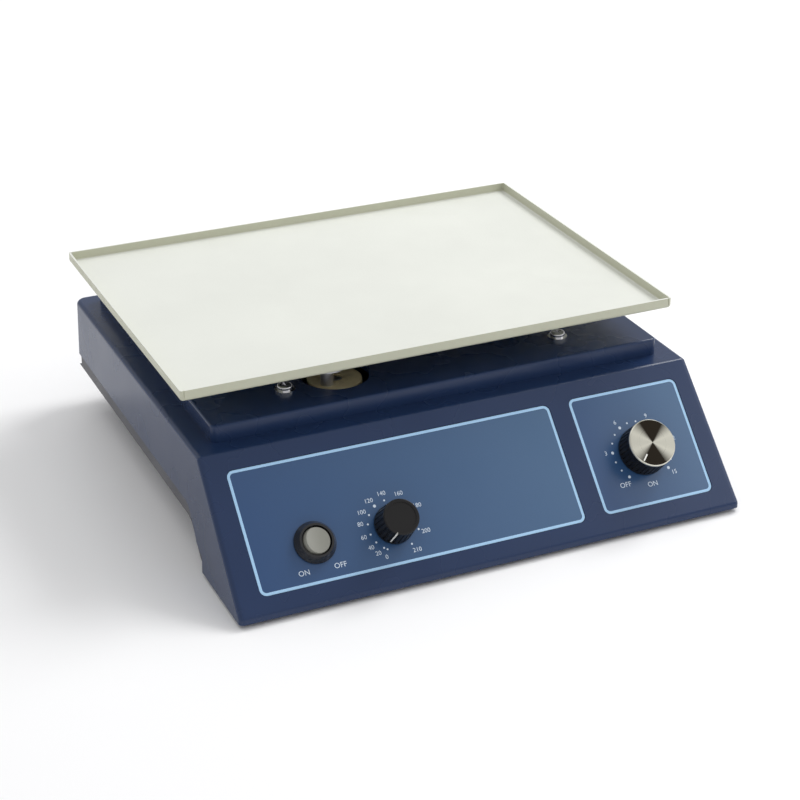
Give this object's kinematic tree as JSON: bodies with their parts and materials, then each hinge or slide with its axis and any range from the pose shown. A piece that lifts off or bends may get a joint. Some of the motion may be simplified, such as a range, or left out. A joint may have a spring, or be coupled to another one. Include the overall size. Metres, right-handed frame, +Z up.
{
  "type": "orbital shaker",
  "caption": "Benchtop orbital shaker: a lipped tray on eccentric cranks over a wedge housing with a sloping panel, speed knob, interval timer and rocker switch.",
  "frame": {"origin": "on the bench, under the middle of the housing", "axes": "+Z up, the sloping control panel towards -Y, +X to the right of someone facing the panel"},
  "size_m": [0.3311, 0.3262, 0.116],
  "materials": {
    "housing_blue": "glossy moulded, dark navy",
    "base_grey": "satin moulded, grey",
    "label_blue": "printed overlay, mid blue",
    "zinc_steel": "zinc-plated",
    "screw_chrome": "bright",
    "screw_steel": "zinc-plated",
    "bearing_steel": "ground",
    "crank_nylon": "cream nylon, machined",
    "pulley_aluminium": "machined",
    "belt_rubber": "black",
    "foot_rubber": "black",
    "board_green": "solder mask",
    "board_parts_black": "mixed small parts",
    "core_iron": "varnished laminations",
    "coil_brass": "varnished copper winding",
    "control_black": "moulded black",
    "knob_black": "satin black",
    "knob_silver": "spun face with bright bevel",
    "rocker_silver": "silver grey face",
    "pin_brass": "plated",
    "tray_cream": "cream powder coat"
  },
  "bodies": {
    "base": {"base_screws": "screw_steel", "base_shell": "base_grey", "bearing_housings": "zinc_steel", "board_parts": "board_parts_black", "case_screws": "screw_steel", "chassis_plate": "zinc_steel", "chassis_screws": "screw_steel", "control_board": "board_green", "deck_screws": "screw_chrome", "deck_washers": "screw_chrome", "drive_belt": "belt_rubber", "drive_motor": "zinc_steel", "foot_screws": "screw_steel", "fuse_cap": "control_black", "fuse_holder": "control_black", "inlet_pins": "pin_brass", "inlet_screws": "screw_steel", "main_label": "label_blue", "mains_inlet": "control_black", "panel_nuts": "screw_steel", "rubber_feet": "foot_rubber", "shaft_bearings": "bearing_steel", "speed_pot": "control_black", "switch_housing": "control_black", "timer_body": "control_black", "timer_label": "label_blue", "top_cover": "housing_blue", "transformer_coil": "coil_brass", "transformer_core": "core_iron"},
    "drive_crank": {"drive_disc": "crank_nylon", "drive_shaft": "bearing_steel", "drive_pin": "bearing_steel", "drive_screw": "screw_steel", "drive_pulley": "pulley_aluminium", "drive_counterweight": "zinc_steel"},
    "rear_idler": {"rear_idler_disc": "crank_nylon", "rear_idler_shaft": "bearing_steel", "rear_idler_pin": "bearing_steel", "rear_idler_screw": "screw_steel", "rear_idler_ring": "screw_steel"},
    "side_idler": {"side_idler_disc": "crank_nylon", "side_idler_shaft": "bearing_steel", "side_idler_pin": "bearing_steel", "side_idler_screw": "screw_steel", "side_idler_ring": "screw_steel"},
    "motor_rotor": {"motor_shaft": "bearing_steel", "motor_pulley": "pulley_aluminium"},
    "tray_set": {"tray": "tray_cream", "carrier_plate": "pulley_aluminium", "bearing_cups": "pulley_aluminium", "cup_screws": "screw_steel", "pin_bearings": "bearing_steel", "tray_studs": "screw_steel", "tray_nuts": "screw_steel"},
    "speed_control": {"speed_knob": "knob_black", "speed_spindle": "bearing_steel"},
    "timer_control": {"timer_knob": "knob_black", "timer_knob_cap": "knob_silver", "timer_spindle": "bearing_steel"},
    "rocker": {"power_rocker": "rocker_silver"}
  },
  "joints": [
    {"name": "crank_spin", "type": "hinge", "parent": "base", "child": "drive_crank", "pos_m": [-0.0566, -0.044, 0.04], "axis": [0, 0, 1], "continuous": true},
    {"name": "tray_hold", "type": "hinge", "parent": "drive_crank", "child": "tray_set", "pos_m": [-0.0642, -0.05049, 0.099], "axis": [0, 0, 1], "continuous": true},
    {"name": "rear_idler_spin", "type": "hinge", "parent": "base", "child": "rear_idler", "pos_m": [-0.0566, 0.112, 0.04], "axis": [0, 0, 1], "continuous": true},
    {"name": "side_idler_spin", "type": "hinge", "parent": "base", "child": "side_idler", "pos_m": [0.1132, 0.034, 0.04], "axis": [0, 0, 1], "continuous": true},
    {"name": "motor_spin", "type": "hinge", "parent": "base", "child": "motor_rotor", "pos_m": [0.014, 0.02, 0.03], "axis": [0, 0, 1], "continuous": true},
    {"name": "speed_turn", "type": "hinge", "parent": "base", "child": "speed_control", "pos_m": [-0.0592, -0.13693, 0.0306], "axis": [0, 0.7132, -0.7009], "range_deg": [0, 300]},
    {"name": "timer_turn", "type": "hinge", "parent": "base", "child": "timer_control", "pos_m": [0.1106, -0.1295, 0.03816], "axis": [0, 0.7132, -0.7009], "range_deg": [-45, 270]},
    {"name": "power_rock", "type": "hinge", "parent": "base", "child": "rocker", "pos_m": [-0.1083, -0.13814, 0.03164], "axis": [0, -0.7009, -0.7132], "range_deg": [0, 14]}
  ],
  "couplings": [
    {"joint": "tray_hold", "follows": "crank_spin", "ratio": -1},
    {"joint": "rear_idler_spin", "follows": "crank_spin", "ratio": 1},
    {"joint": "side_idler_spin", "follows": "crank_spin", "ratio": 1},
    {"joint": "motor_spin", "follows": "crank_spin", "ratio": 3}
  ]
}
